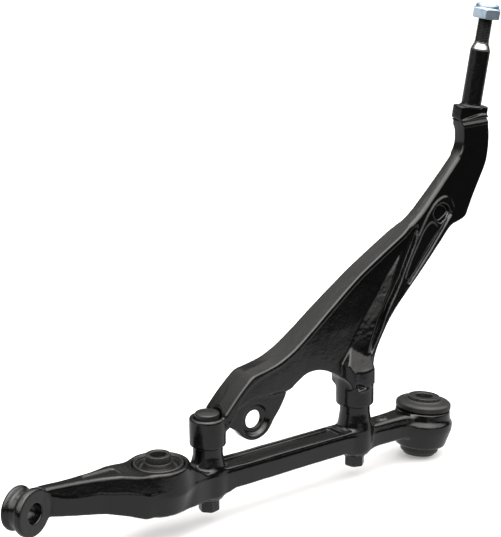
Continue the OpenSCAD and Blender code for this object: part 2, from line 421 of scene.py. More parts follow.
def noise(nt, co, scale, detail=4.0, rough=0.55, dist=0.0):
    n = nt.nodes.new("ShaderNodeTexNoise")
    n.inputs["Scale"].default_value = scale
    n.inputs["Detail"].default_value = detail
    n.inputs["Roughness"].default_value = rough
    n.inputs["Distortion"].default_value = dist
    nt.links.new(co, n.inputs["Vector"])
    return n.outputs["Fac"]


def voronoi(nt, co, scale, feature="SMOOTH_F1"):
    n = nt.nodes.new("ShaderNodeTexVoronoi")
    n.feature = feature
    n.inputs["Scale"].default_value = scale
    nt.links.new(co, n.inputs["Vector"])
    return n.outputs["Distance"]


def remap(nt, fac, lo, hi, a, b):
    n = nt.nodes.new("ShaderNodeMapRange")
    n.inputs["From Min"].default_value = lo
    n.inputs["From Max"].default_value = hi
    n.inputs["To Min"].default_value = a
    n.inputs["To Max"].default_value = b
    nt.links.new(fac, n.inputs["Value"])
    return n.outputs["Result"]


def math_node(nt, op, a, b):
    n = nt.nodes.new("ShaderNodeMath")
    n.operation = op
    for i, v in enumerate((a, b)):
        if isinstance(v, (int, float)):
            n.inputs[i].default_value = v
        else:
            nt.links.new(v, n.inputs[i])
    return n.outputs[0]


def ramp(nt, fac, stops):
    n = nt.nodes.new("ShaderNodeValToRGB")
    els = n.color_ramp.elements
    while len(els) < len(stops):
        els.new(0.5)
    for e, (p, c) in zip(els, stops):
        e.position = p
        e.color = (*c, 1.0)
    nt.links.new(fac, n.inputs["Fac"])
    return n.outputs["Color"]


def bump(nt, height, distance, strength=1.0, under=None):
    n = nt.nodes.new("ShaderNodeBump")
    n.inputs["Distance"].default_value = distance
    n.inputs["Strength"].default_value = strength
    nt.links.new(height, n.inputs["Height"])
    if under is not None:
        nt.links.new(under, n.inputs["Normal"])
    return n.outputs["Normal"]


def forging_paint(name, grain=1.0, dark=0.0022, gloss=(0.07, 0.17)):
    """Glossy black paint over a forged and shot-blasted skin."""
    m, nt, bs, co = material(name)
    broad = noise(nt, co, 60, 3, 0.5)
    pits = noise(nt, co, 420, 5, 0.6, 0.3)
    fine = noise(nt, co, 1500, 3, 0.6)
    cells = voronoi(nt, co, 520)
    col = ramp(nt, noise(nt, co, 140, 5, 0.6), [
        (0.30, (dark * 0.75, dark * 0.75, dark * 0.78)),
        (0.60, (dark * 1.05, dark * 1.04, dark * 1.05)),
        (0.80, (dark * 1.5, dark * 1.45, dark * 1.4))])
    nt.links.new(col, bs.inputs["Base Color"])
    nt.links.new(remap(nt, pits, 0.3, 0.7, gloss[0], gloss[1]), bs.inputs["Roughness"])
    b1 = bump(nt, broad, 0.00055 * grain, 0.5)
    b2 = bump(nt, pits, 0.00022 * grain, 0.6, b1)
    b3 = bump(nt, cells, 0.00006 * grain, 0.5, b2)
    b4 = bump(nt, fine, 0.00003 * grain, 0.5, b3)
    b5 = bump(nt, noise(nt, co, 850, 3, 0.6), 0.00009 * grain, 0.6, b4)
    nt.links.new(b5, bs.inputs["Normal"])
    bs.inputs["IOR"].default_value = 1.5
    bs.inputs["Coat Weight"].default_value = 0.15
    bs.inputs["Coat Roughness"].default_value = 0.08
    return m


def machined_black(name, grain=1.0, dark=0.012, gloss=(0.22, 0.34), lines=1400):
    """Black coating over a turned or rolled face: fine rings from the tool and light specks."""
    m, nt, bs, co = material(name)
    mp = nt.nodes.new("ShaderNodeMapping")
    mp.inputs["Scale"].default_value = (0.12, 0.12, 1.0)
    nt.links.new(co, mp.inputs["Vector"])
    rings = noise(nt, mp.outputs["Vector"], lines, 4, 0.6)
    spots = noise(nt, co, 300, 5, 0.6)
    col = ramp(nt, spots, [(0.3, (dark * 0.8,) * 3), (0.65, (dark * 1.1,) * 3), (0.85, (dark * 1.8,) * 3)])
    nt.links.new(col, bs.inputs["Base Color"])
    nt.links.new(remap(nt, spots, 0.3, 0.7, gloss[0], gloss[1]), bs.inputs["Roughness"])
    b1 = bump(nt, rings, 0.00004 * grain, 0.6)
    b2 = bump(nt, spots, 0.00008 * grain, 0.5, b1)
    nt.links.new(b2, bs.inputs["Normal"])
    bs.inputs["IOR"].default_value = 1.5
    return m


def rubber_mat(name):
    m, nt, bs, co = material(name)
    mott = noise(nt, co, 240, 6, 0.65)
    fine = noise(nt, co, 1800, 3, 0.6)
    col = ramp(nt, mott, [(0.3, (0.005, 0.005, 0.005)), (0.6, (0.009, 0.0085, 0.008)), (0.85, (0.022, 0.020, 0.018))])
    nt.links.new(col, bs.inputs["Base Color"])
    nt.links.new(remap(nt, mott, 0.3, 0.7, 0.36, 0.52), bs.inputs["Roughness"])
    b1 = bump(nt, mott, 0.00012, 0.5)
    nt.links.new(bump(nt, fine, 0.00003, 0.6, b1), bs.inputs["Normal"])
    bs.inputs["IOR"].default_value = 1.5
    return m


def steel_mat(name, tone=(0.30, 0.30, 0.31), rough=(0.24, 0.40), metallic=1.0, lines=2200):
    m, nt, bs, co = material(name)
    mp = nt.nodes.new("ShaderNodeMapping")
    mp.inputs["Scale"].default_value = (0.2, 0.2, 1.0)
    nt.links.new(co, mp.inputs["Vector"])
    rings = noise(nt, mp.outputs["Vector"], lines, 4, 0.6)
    spots = noise(nt, co, 260, 5, 0.6)
    col = ramp(nt, spots, [(0.25, tuple(c * 0.72 for c in tone)), (0.55, tone), (0.85, tuple(min(1, c * 1.2) for c in tone))])
    nt.links.new(col, bs.inputs["Base Color"])
    nt.links.new(remap(nt, spots, 0.3, 0.7, rough[0], rough[1]), bs.inputs["Roughness"])
    b1 = bump(nt, rings, 0.00003, 0.6)
    nt.links.new(bump(nt, spots, 0.00005, 0.4, b1), bs.inputs["Normal"])
    bs.inputs["Metallic"].default_value = metallic
    return m


def zinc_mat(name):
    """Blue-white zinc plate: bright, slightly clouded, with a faint violet and straw bloom."""
    m, nt, bs, co = material(name)
    cloud = noise(nt, co, 160, 5, 0.6, 0.6)
    grain = noise(nt, co, 900, 4, 0.6)
    col = ramp(nt, cloud, [(0.25, (0.34, 0.45, 0.57)), (0.5, (0.47, 0.58, 0.69)), (0.72, (0.60, 0.69, 0.77)), (0.9, (0.70, 0.72, 0.70))])
    nt.links.new(col, bs.inputs["Base Color"])
    nt.links.new(remap(nt, grain, 0.3, 0.7, 0.34, 0.50), bs.inputs["Roughness"])
    b1 = bump(nt, cloud, 0.00008, 0.4)
    nt.links.new(bump(nt, grain, 0.00003, 0.5, b1), bs.inputs["Normal"])
    bs.inputs["Metallic"].default_value = 1.0
    return m


def nylon_mat(name):
    m, nt, bs, co = material(name)
    cloud = noise(nt, co, 300, 4, 0.6)
    col = ramp(nt, cloud, [(0.3, (0.62, 0.68, 0.74)), (0.7, (0.80, 0.83, 0.86))])
    nt.links.new(col, bs.inputs["Base Color"])
    nt.links.new(remap(nt, cloud, 0.3, 0.7, 0.35, 0.5), bs.inputs["Roughness"])
    nt.links.new(bump(nt, cloud, 0.00004, 0.5), bs.inputs["Normal"])
    bs.inputs["Subsurface Weight"].default_value = 0.1
    bs.inputs["Subsurface Scale"].default_value = 0.001
    return m


FORGED = forging_paint("forging_paint")
FORGED_ARM = forging_paint("arm_paint", grain=1.0, dark=0.0026)
STUD_MAT = machined_black("stud_black", dark=0.0035, gloss=(0.14, 0.30), lines=900)
BARE = steel_mat("bare_shoulder", tone=(0.62, 0.60, 0.57), rough=(0.16, 0.30))
BOLT_MAT = machined_black("bolt_black", grain=1.4, dark=0.008)
RUBBER = rubber_mat("bush_rubber")
SLEEVE = machined_black("sleeve_black", dark=0.016, gloss=(0.20, 0.34))
ZINC = zinc_mat("zinc_plate")
NYLON = nylon_mat("nylon")


def finish_piece(ob, mat, body, slot, *nodes):
    ob.data.materials.clear()
    ob.data.materials.append(mat)
    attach(ob, body)
    if nodes:
        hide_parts(*nodes)
    return ob


# ------------------------------------------------------------------ lower link

LINK_SIDE = [(-378, 17), (-359, 17), (-335, 12), (-312, 8), (-296, 3.5), (-284, -1), (-240, -3),
             (-228, -3.5), (-204, -3), (-198, -0.8), (-90, -0.8), (-84, -4.5), (-62, -4.5), (-57, -4), (-20, -4.5),
             (-8, -6), (8, -2), (8, 12), (-12, 13), (-24, 15.5), (-50, 15.5), (-84, 16.5), (-190, 17.3), (-228, 19),
             (-240, 28), (-285, 33), (-300, 36), (-335, 38), (-358, 39.5), (-378, 39.5)]
PLAN_X = [-380, -372, -358, -335, -315, -300, -285, -262, -240, -228, -204, -92, -70, -52, -30, -8, 4, 12]
PLAN_W = [4.5, 5.2, 6.0, 7.5, 10.0, 15.0, 20.0, 20.5, 18.5, 15.0, 12.5, 12.5, 12.2, 10.0, 10.5, 15.5, 14.5, 13]
PART_X = [-380, -358, -351, -347, -341, -334, -328, -318, -309, -300, -287, -283, -279, -275, -265, -258, -245, -231, -210, -90, -60, 10]
PART_Z = [33.5, 33.5, 31.5, 29.5, 28.0, 26.6, 26.3, 25.8, 23.8, 22.8, 20.0, 18.0, 17.6, 19.0, 19.3, 18.6, 16.8, 15.2, 13.6, 12.6, 9.0, 6.0]


def gaussed(x, xs, ys, s):
    grid = np.arange(min(xs) - 30, max(xs) + 30, 0.5)
    y = np.interp(grid, xs, ys)
    k = np.exp(-0.5 * (np.arange(-int(4 * s / 0.5), int(4 * s / 0.5) + 1) * 0.5 / s) ** 2)
    pad = len(k) // 2
    y = np.convolve(np.pad(y, pad, mode="edge"), k / k.sum(), "valid")
    return np.interp(x, grid, y).astype(np.float32)


L = Field((-396, -27, -19), (27, 27, 46), 0.8)
X, Y, Z = L.whole()
W0 = gaussed(L.ax[0], PLAN_X, PLAN_W, 4.0)[:, None, None]
ZP = (gaussed(L.ax[0], PART_X, PART_Z, 1.6))[:, None, None]
side = poly_sd(L.ax[0][:, None, None], L.ax[2][None, None, :], fillet(LINK_SIDE, 8, support=0))
above, below = np.maximum(Z - ZP, 0), np.maximum(ZP - Z, 0)
WZ = W0 - 0.14 * above - 0.09 * below - 0.35 * smooth01(above / 0.8)
EDGE = gaussed(L.ax[0], [-380, -300, -280, -205, -195, -95, -85, -50, 10], [2.6, 1.8, 1.8, 1.6, 0.9, 0.9, 1.4, 2.4, 3.0], 3.0)[:, None, None]
d = round_and(side, (np.abs(Y) - WZ) * 0.985, EDGE)
# the channel in the beam's top face: a wide front rim, a thin back rim
chan = poly_sd(X, Y, fillet([(-199, -7.0), (-91, -7.0), (-91, 9.8), (-199, 9.8)], 3.0, support=0))
floor = 14.3 - 0.006 * (X + 145)
d = smax(d, -round_and(chan - 0.14 * (Z - 14), floor - Z, 0.7), 0.7)
# the channel underneath
chan2 = poly_sd(X, Y, fillet([(-197, -7.5), (-92, -7.5), (-92, 7.5), (-197, 7.5)], 4, support=0))
d = smax(d, -round_and(chan2 + 0.12 * (Z - 3), Z - 3.0, 1.4), 1.2)
# the shallow pocket between the eye and the fork boss
pock = poly_sd(X, Y, fillet([(-326, -3.2), (-296, -6.5), (-296, 6.5), (-326, 3.2)], 3, support=0))
top_here = 38.4 - (X + 330) * 0.06
d = smax(d, -round_and(pock, top_here - 2.0 - Z, 0.5), 0.6)
L.d[:] = d
# fork boss
L.add((-300, -27, -10), (-222, 27, 44), spun(AT_FORK, fillet(
    [(0, -3), (19.8, -3, 3.5), (25.1, 14, 2.5), (23.7, 30.8, 1.0), (22.9, 32.5, 0.8), (0, 32.5)], 1, support=0)), 3.6)
# pedestals under the two posts
for px, r in ((LEFT_X, 14.0), (RIGHT_X, 14.6)):
    L.add((px - 24, -24, -10), (px + 24, 24, 44), spun(place((px, 0, 0)), fillet(
        [(0, -6.8), (11, -6.8, 2), (13.0, -2.5, 3), (r - 0.3, 10, 5), (r - 0.2, 15, 6), (r - 1.6, 22, 8),
         (r - 2.6, 29, 8), (r - 2.6, 35.9, 0.3), (0, 35.9)], 1, support=0)), 2.6)
# low web that stiffens each pedestal along the beam
gus = lambda X, Y, Z: np.maximum(np.maximum(np.abs(Y) - 4.5, Z - (19.5 + 7.0 * np.clip((X + 238) / 14, 0, 1) ** 2)), np.maximum(-240 - X, X + 216))
L.add((-246, -10, 10), (-205, 10, 40), gus, 4.0)
# pivot boss
L.add((-36, -27, -10 - 8), (27, 27, 30), spun(AT_PIVOT, fillet(
    [(0, -16.2), (20.6, -16.2, 2.4), (25.1, -1, 9), (25.1, 4.0, 1.6), (23.0, 7.6, 2.2), (22.2, 13.9, 0.9), (0, 13.9)], 1, support=0)), 3.2)
# oval pad on the neck
pad = lambda X, Y, Z: np.maximum(np.hypot((X + 45) / 1.35, Y + 2.0) - 3.2, Z - 16.9)
L.add((-56, -10, 10), (-34, 8, 22), pad, 1.6)
# the eye: front disc, waist, rear flange
EYE_PROF = fillet([(0, -7.95), (15.6, -7.95, 0.9), (16.6, -6.9, 0.8), (16.4, -4.8, 0.8), (13.8, -3.0, 1.6), (13.6, 2.4, 1.8),
                   (17.4, 4.6, 0.8), (18.0, 6.4, 0.8), (17.9, 9.4, 0.8), (16.9, 10.55, 0.7), (0, 10.55)], 1, support=0)
sl, bx, by, bz = L.block((-396, -27, 4), (-350, 27, 46))
u, v, w = local(AT_EYE, bx, by, bz)
L.d[sl] = smax(L.d[sl], -np.maximum(10.2 - w, np.hypot(u, v) - 17.4), 1.2)
L.add((-396, -27, 4), (-350, 27, 46), spun(AT_EYE, EYE_PROF), 2.0)
# gentle forging unevenness
L.d += 0.14 * lattice(L, 17, 3) + 0.05 * lattice(L, 5.5, 4)
# bores and faces that are machined after forging
L.cut((-300, -27, -10), (-222, 27, 44), lambda X, Y, Z: np.hypot(X + 261, Y) - 19.05, 0.5)
L.cut((-300, -27, 20), (-222, 27, 44), spun(AT_FORK, [(0, 31.2), (20.0, 31.2), (20.6, 40), (0, 40)]), 0.6)
L.d[L.block((-300, -27, 20), (-222, 27, 44))[0]] = smax(L.d[L.block((-300, -27, 20), (-222, 27, 44))[0]],
                                                       L.ax[2][None, None, L.block((-300, -27, 20), (-222, 27, 44))[0][2]] - np.where(
                                                           np.hypot(L.block((-300, -27, 20), (-222, 27, 44))[1] + 261, L.block((-300, -27, 20), (-222, 27, 44))[2]) < 24.8, 32.45, 50), 0.5)
L.cut((-30, -27, -18), (27, 27, 30), spun(AT_PIVOT, [(0, -40), (18.05, -40), (18.05, 40), (0, 40)]), 0.5)
L.cut((-36, -27, 5), (27, 27, 44), spun(AT_PIVOT, fillet([(0, 14.0), (23.7, 14.0), (23.7, 40), (0, 40)], 0.5, support=0)), 0.6)
L.cut((-396, -27, 4), (-350, 27, 46), spun(AT_EYE, [(0, 30), (0, -30), (8.3, -30), (8.3, -7.7), (7.5, -7.1), (7.5, 10.0), (8.1, 10.6), (8.1, 30)]), 0.4)
for px in (LEFT_X, RIGHT_X):
    L.cut((px - 10, -10, -18), (px + 10, 10, 44), lambda X, Y, Z: np.hypot(X - px, Y) - 5.25, 0.4)
finish_piece(skin_piece("link_forging", L), FORGED, "arm", "black_forging", "lower_link")
del L

# ------------------------------------------------------------------ radius arm

ARM_OUT = [(-210, 59), (-204, 65.4), (-199, 70.6), (-192, 77.2), (-184.5, 83.4), (-181.5, 85.2), (-178, 86.0), (-166, 88.0), (-156, 90.5),
           (-143, 96.5), (-130, 105), (-109, 120), (-90, 133.5), (-73, 145), (-49, 158.5), (-28, 170),
           (-11, 180.5), (2, 193), (14, 204.5), (25, 215.5), (33.5, 224.5), (36, 231), (36.2, 240),
           (34, 247), (32.6, 251), (60, 254), (62.0, 246), (63.3, 238), (63.5, 229), (62, 218), (60, 211.5), (54, 200),
           (46.3, 186), (43, 178.5), (38.5, 171.5), (31, 168.8), (24, 167.5), (19, 164), (11.5, 156), (-8, 137), (-26, 120),
           (-42, 104), (-54, 85), (-59, 73), (-60, 62), (-60, 48), (-84, 48), (-86, 58), (-93, 64.5),
           (-104, 70.2), (-113, 73.2), (-124, 73.2), (-134, 68.5), (-143, 63), (-164, 64), (-174, 66),
           (-186, 62.5), (-198, 56.5), (-205, 50)]
ARM_T = ([-216, -132, -75, -20, 12, 30, 70], [13.4, 11.6, 9.2, 9.0, 8.0, 7.4, 7.4])
REC = [(-198, 59), (-194.5, 67), (-189.5, 73), (-181, 79.6), (-165, 84.6), (-155, 86.3), (-141, 92), (-128, 101),
       (-107, 116), (-88, 129.5), (-71, 141), (-47, 154.5), (-27, 165.5), (-17, 172.5), (-13.5, 173.5), (-12.2, 170.5), (-16, 160),
       (-21.5, 150), (-26.5, 140.5), (-30, 132.5), (-36, 122), (-41, 114.5), (-45.5, 107), (-49.5, 97.5), (-54.5, 89),
       (-59.5, 80), (-63.0, 72), (-64, 62), (-78, 57.0), (-97, 54), (-134, 54), (-142, 58.9), (-152, 60.6), (-162, 63.2),
       (-172.4, 65.0), (-184, 61.5), (-197, 55.5)]
LUG = (-174.0, 46.0)

A = Field((-234, -17.6, 30), (82, 17.6, 276), 0.8)
X, Y, Z = A.whole()
x2, z2 = A.ax[0][:, None, None], A.ax[2][None, None, :]
out2 = poly_sd(x2, z2, soften(ARM_OUT, 2, 0.22))
T = gaussed(A.ax[0], *ARM_T, 6.0)[:, None, None]
rec2 = poly_sd(x2, z2, soften(REC, 2, 0.22))
# depth of the recess: slight beside the lug, down to the web further on
deep = smooth01((x2 + 172) / 70)
depth = 3.3 * (1 - deep) + (T - 4.7) * deep
wall = 1.5 + 0.8 * smooth01((-60 - x2) / 60)
sink = depth * (1 - smooth01((rec2 + wall) / wall))
# the web climbs to the inboard rim in a ramp that widens towards the right post
SL = [(-91.4, 66.5), (-80.5, 86.8), (-67.5, 106.2), (-53.5, 123.3), (-44.5, 136.4), (-31.2, 150.5)]
SR = [(-62.0, 63.1), (-61.0, 83.3), (-53.4, 104.0), (-42.6, 121.6), (-36.6, 136.0), (-29.0, 152.0)]
zz = z2 + 0 * x2
xx = x2 + 0 * z2
xl = np.interp(zz.ravel(), [p[1] for p in SL], [p[0] for p in SL]).reshape(zz.shape)
xr = np.interp(zz.ravel(), [p[1] for p in SR], [p[0] for p in SR]).reshape(zz.shape)
tt = (x2 - xl) / np.maximum(xr - xl, 1.0)
climb = np.interp(zz.ravel(), [60, 70, 100, 130, 150, 156], [5.0, 5.0, 4.2, 2.8, 1.2, 0.0]).reshape(zz.shape)
valley = smooth01((tt - 0.80) / 0.30)
sink = np.maximum(sink - climb * (np.clip(tt, 0, 0.8) / 0.8 - valley) * (tt > 0) * (rec2 < 2), 0)
# the inboard flange ends in a raised pad; the bar's front face beyond it is lower
PAD = [(14.1, 191.7), (5.6, 188.6), (-1.8, 181.1), (-9, 170.1), (-15.2, 158.8), (-21.4, 150.1), (-26.5, 140.3), (-29.5, 133.4),
       (-33, 124), (-20, 118), (0, 138), (19, 160), (27, 166.5), (25.5, 181), (20.5, 189.5)]
padd = poly_sd(x2, z2, soften(PAD, 2, 0.22))
low = (1.3 * smooth01((padd + 0.4) / 2.2) * smooth01((z2 - 166 + 0.5 * (x2 + 30)) / 10) * smooth01((248 - z2) / 5)
       * smooth01((np.hypot(x2 - 30, z2 - 171) - 6) / 9))
# the closed pocket and the slot that runs down from it along the inboard rim
pocket = poly_sd(x2, z2, soften([(1.5, 179.8), (5.6, 185.6), (12.1, 187.1), (18.6, 183.5), (21.6, 178), (17.9, 174.4), (10.4, 170.4), (5.0, 173.2)], 1, 0.16))
slot = line_d(x2, z2, [(21.4, 176.6), (-1.0, 151.2), (-23.2, 128.2)])[0] - 1.45
cutp = 3.8 * (1 - smooth01((pocket + 1.2) / 1.2))
cuts = 2.4 * (1 - smooth01((slot + 0.9) / 1.1))
panel = poly_sd(x2, z2, soften([(1.0, 175.5), (10.0, 166.6), (4.0, 160.5), (-5.6, 150.5), (-15.5, 139), (-24, 129), (-29, 131.6), (-21, 148), (-14.8, 157.8), (-8.4, 168.6)], 2, 0.22))
soft = 0.7 * (1 - smooth01((panel + 1.4) / 1.4))
H = T - np.maximum(np.maximum(sink, low), np.maximum(np.maximum(cutp, cuts), soft + 0 * x2))
# a wedge carries the right post up into the web
wedge = 14.5 - 0.50 * np.maximum(zz - 66, 0) - 2.2 * np.maximum(xl + 1.5 - xx, 0) - 2.2 * np.maximum(xx - (xr - 1.6), 0) - 1.3 * np.maximum(54 - zz, 0)
wedge = np.minimum(wedge, np.sqrt(np.maximum(18.6 ** 2 - (xx - RIGHT_X) ** 2, 0)))
H = np.where((zz > 44) & (zz < 100), smax(H, wedge, 0.5), H)
bev_d, bev_s = line_d(x2, z2, [(-24, 171), (-11, 180.5), (2, 193), (14, 204.5), (25, 215.5), (33.5, 224.5)])
bev = np.maximum(8.0 - bev_d, 0) / 8.0
RND = 0.9 + 0.5 * smooth01((-120 - X) / 30) + 2.0 * smooth01((-142 - X) / 12) * smooth01((70 + 0.1 * (X + 160) - Z) / 5) * smooth01((X + 200) / 8)
DR = 0.045 * np.abs(Y) - 0.25
d = round_and(out2 + DR, np.abs(Y) - H, RND.astype(np.float32))
# a broad chamfer on the outer edge of the upper bar, 45 degrees between its side and its face
edge_w = (1.9 * smooth01(bev * 1.6) * smooth01(bev_s / 0.08) * smooth01((1 - bev_s) / 0.06)).astype(np.float32)
chm = (out2 + DR + (np.abs(Y) - H)) * 0.7071 + edge_w * 0.7071
d = np.where(edge_w > 0.05, smax(d, chm, 0.7), d)
A.d[:] = d
# lug, dished round its hole on both faces
lug2 = poly_sd(x2, z2, soften([(-201, 47), (-199, 62), (-174, 73), (-146, 71.5), (-143, 62), (-150, 50), (-161.5, 36.4), (-166, 33.4), (-176, 38), (-188, 39), (-194, 43.2)], 2, 0.2))
ring2 = np.hypot(x2 - LUG[0], z2 - LUG[1]) - 16
lugd = round_and(smin(lug2, ring2, 3.0), np.abs(Y) - 4.5, 1.3)
A.d[:] = smin(A.d, lugd, 2.6)
rr = np.hypot(X - LUG[0], Z - LUG[1])
dish = np.maximum((rr - 10.4 - (np.abs(Y) - 1.5) * 0.80) * 0.78, 1.5 - np.abs(Y))
A.d[:] = smax(A.d, -np.maximum(dish, rr - 14), 0.7)
# the two posts
for px, r, top in ((LEFT_X, 13.8, 58.0), (RIGHT_X, 15.0, 66.0)):
    A.add((px - 24, -18, 30), (px + 24, 18, 80), spun(place((px, 0, 0)), fillet(
        [(0, 35.9), (r - 0.6, 35.9, 0.3), (r, 36.6, 0.4), (r, top - 1.0, 0.7), (r - 1.0, top, 0.6), (0, top)], 1, support=0)), 1.8)
# the right post's flat front and the small notch in it
A.cut((-95, -18, 36), (-48, -9, 66), lambda X, Y, Z: np.sqrt(((X + 78) / 5.0) ** 2 + ((Z - 53.5 + 0.35 * (X + 78)) / 2.2) ** 2 + ((Y + 14.6) / 2.4) ** 2) * 2.2 - 2.2, 1.2)
A.add((-92, -18, 44), (-60, 18, 66), lambda X, Y, Z: np.sqrt(((X + 76) / 5) ** 2 + ((Z - 50.2) / 1.2) ** 2 + ((Y + 14.2) / 1.2) ** 2) * 1.2 - 1.2, 1.6)
# casting bulge where the arm meets the left post
A.add((-214, -17.6, 38), (-190, 0, 62), lambda X, Y, Z: np.sqrt(((X + 205.5) / 2.6) ** 2 + ((Z - 51) / 3.2) ** 2 + ((Y + 9.5) / 3.0) ** 2) * 2.6 - 2.6, 3.0)
# collar under the stud
cu, cv, cw = local(AT_STUD, X, Y, Z)
coll = round_and(round_and(np.hypot(cu, cv) - 15.2, np.abs(cv) - 6.0, 0.9), np.abs(cw + 5.2) - 5.4, 0.8)
A.d[:] = smin(A.d, coll, 1.0)
# the front face drops back under the collar: a light ledge
sl, bx, by, bz = A.block((20, -18, 236), (66, 18, 251.2))
ledge = 8.9 - 0.50 * (bz - 241.5)
A.d[sl] = smax(A.d[sl], (np.abs(by) - np.where(bz > 249.4, 12.0, ledge) + 0.0 * bx).astype(np.float32) * 0.9, 0.5)
A.d += 0.12 * lattice(A, 15, 7) + 0.045 * lattice(A, 5, 8)
# the skin of the strip beside the inboard rim is left rough
rough = (smooth01((tt + 0.05) / 0.15) * (1 - smooth01((tt - 0.78) / 0.12)) * smooth01((zz - 84) / 10) * (1 - smooth01((zz - 138) / 14))).astype(np.float32)
A.d += 0.16 * rough * lattice(A, 1.9, 11)
# machined holes
for px in (LEFT_X, RIGHT_X):
    A.cut((px - 10, -10, 30), (px + 10, 10, 62), lambda X, Y, Z: np.maximum(np.hypot(X - px, Y) - 5.05, Z - 61), 0.4)
A.cut((LEFT_X - 20, -18, 48), (LEFT_X + 20, 18, 80), spun(place((LEFT_X, 0, 0)), [(0, 52), (9.5, 52), (9.5, 56.4), (10.4, 57.2), (10.8, 80), (0, 80)]), 0.5)
A.d[:] = smax(A.d, -np.maximum(rr - 7.2, 0 * Y - 1) - 0 * Y, 0.4)
finish_piece(skin_piece("arm_forging", A), FORGED_ARM, "arm", "black_forging", "radius_arm")
del A, X, Y, Z, d, cu, cv, cw, coll, rr, dish, lugd

# ------------------------------------------------------------------ stud with a real thread

def threaded(name, M, w0, w1, r, pitch, depth, lead=1.2, tail=2.0, seg=96, per=10):
    n = int((w1 - w0) / pitch * per)
    ws = np.linspace(w0, w1, n + 1)
    th = np.arange(seg) * 2 * math.pi / seg
    W, TH = np.meshgrid(ws, th, indexing="ij")
    ph = ((W - w0) / pitch - TH / (2 * math.pi)) % 1.0
    tri = np.abs(ph - 0.5) * 2
    cutd = depth * np.clip((0.88 - tri) / 0.76, 0, 1)
    fade = smooth01((W - w0) / tail)
    Rr = r - cutd * fade
    Rr = np.minimum(Rr, r - 0.95 + np.clip((w1 - W) / lead, 0, 1) * 0.95)
    V = np.stack([Rr * np.cos(TH), Rr * np.sin(TH), W], 2).reshape(-1, 3)
    idx = np.arange((n + 1) * seg).reshape(n + 1, seg)
    a, b = idx[:-1], np.roll(idx, -1, 1)[:-1]
    c, d2 = np.roll(idx, -1, 1)[1:], idx[1:]
    Q = np.stack([a, b, c, d2], 2).reshape(-1, 4)
    # the end face, slightly dished, closes the tube in rings
    rings, faces, base = [V], [Q], len(V)
    last = idx[-1]
    for k, (f, dz) in enumerate(((0.8, 0.0), (0.45, -0.12), (0.12, -0.2))):
        rk = (r - 0.95) * f
        ring = np.stack([rk * np.cos(th), rk * np.sin(th), np.full(seg, w1 + dz)], 1)
        rings.append(ring)
        now = np.arange(base, base + seg)
        faces.append(np.stack([last, np.roll(last, -1), np.roll(now, -1), now], 1))
        last, base = now, base + seg
    # bottom ring, hidden in the shoulder
    low = idx[0]
    ring = np.stack([0.3 * np.cos(th), 0.3 * np.sin(th), np.full(seg, w0)], 1)
    rings.append(ring)
    now = np.arange(base, base + seg)
    faces.append(np.stack([now, np.roll(now, -1), np.roll(low, -1), low], 1))
    V = np.concatenate(rings)
    Q = np.concatenate(faces)
    Am = np.array(M)
    return new_mesh(name, V @ Am[:3, :3].T + Am[:3, 3], Q)


shaft = turned("stud_shaft", fillet(
    [(0, -8), (5.4, -8), (5.4, -1.2), (9.3, -1.2, 0.4), (9.4, 0.2, 0.5), (8.2, 1.0, 0.7), (8.0, 2.6, 0.6), (8.0, 45.2, 0.35),
     (7.4, 45.9, 0.2), (5.6, 48.9, 0.2), (5.6, 52.0, 0), (0, 52.0)], 0.3), AT_STUD, 128)
finish_piece(shaft, STUD_MAT, "arm", "black_forging", "radius_arm")
shoulder = turned("stud_shoulder", fillet(
    [(5.3, 46.2), (7.66, 46.0, 0.15), (7.62, 46.3, 0.2), (6.35, 49.3, 0.4), (5.95, 50.5, 0.25), (5.93, 51.4, 0.1), (5.3, 51.4)], 0.2, support=0), AT_STUD, 128)
finish_piece(shoulder, BARE, "arm", "black_forging", "radius_arm")
th_ob = threaded("stud_thread", AT_STUD, 50.8, 80.4, 5.9, 1.25, 0.66)
finish_piece(th_ob, STUD_MAT, "arm", "black_forging", "radius_arm")

# ------------------------------------------------------------------ nut and its locking ring

NUT_W, NUT_TURN = 70.5, -16.0
AT_NUT = AT_STUD @ place((0, 0, NUT_W), (0, 0, NUT_TURN))


def hex_d(u, v, af):
    a = np.abs(u)
    b = np.abs(0.5 * u + 0.8660254 * v)
    c = np.abs(0.5 * u - 0.8660254 * v)
    return np.maximum(np.maximum(a, b), c) - af / 2


class Local(Field):
    """A field in a piece's own frame."""


N = Local((-14, -14, -1), (14, 14, 12), 0.25)
u, v, w = N.whole()
rad = np.hypot(u, v)
hx = hex_d(v, u, 21.0)
body = round_and(hx, np.abs(w - 4.0) - 4.0, 0.45)
cone = (rad - 11.0 - (4.0 - np.abs(w - 4.0)) * 1.75) / 2.0
body = smax(body, cone, 0.5)
crown = poly_sd(rad, w, fillet([(-30, 5), (9.3, 5, 0.1), (9.3, 9.2, 0.9), (9.05, 10.6, 0.5), (8.5, 11.0, 0.3), (-30, 11.0)], 0.3, support=0))
body = smin(body, crown, 0.9)
body = smax(body, -(rad - 5.95), 0.3)
body = smax(body, -poly_sd(rad, w, fillet([(-30, 7.9), (8.2, 7.9), (8.2, 10.2, 0.4), (7.7, 10.9, 0.3), (8.0, 13), (-30, 13)], 0.2, support=0)), 0.25)
cham = poly_sd(rad, w, [(-30, -2), (7.6, -2), (5.9, 0.9), (-30, 0.9)])
body = smax(body, -cham, 0.3)
N.d[:] = body
v_, q_, n_ = skin(N)
Am = np.array(AT_NUT)
nut = new_mesh("nut_body", v_ @ Am[:3, :3].T + Am[:3, 3], q_, n_ @ Am[:3, :3].T)
print("nut", len(q_))
finish_piece(nut, ZINC, "nut", "zinc", "stud_nut")
ring = turned("nut_ring", fillet([(6.0, 8.05, 0.2), (8.12, 8.05, 0.1), (8.12, 10.0, 0.3), (7.4, 10.35, 0.4), (6.5, 10.45, 0.4), (5.96, 9.9, 0.2)], 0.2, support=0), AT_NUT, 96)
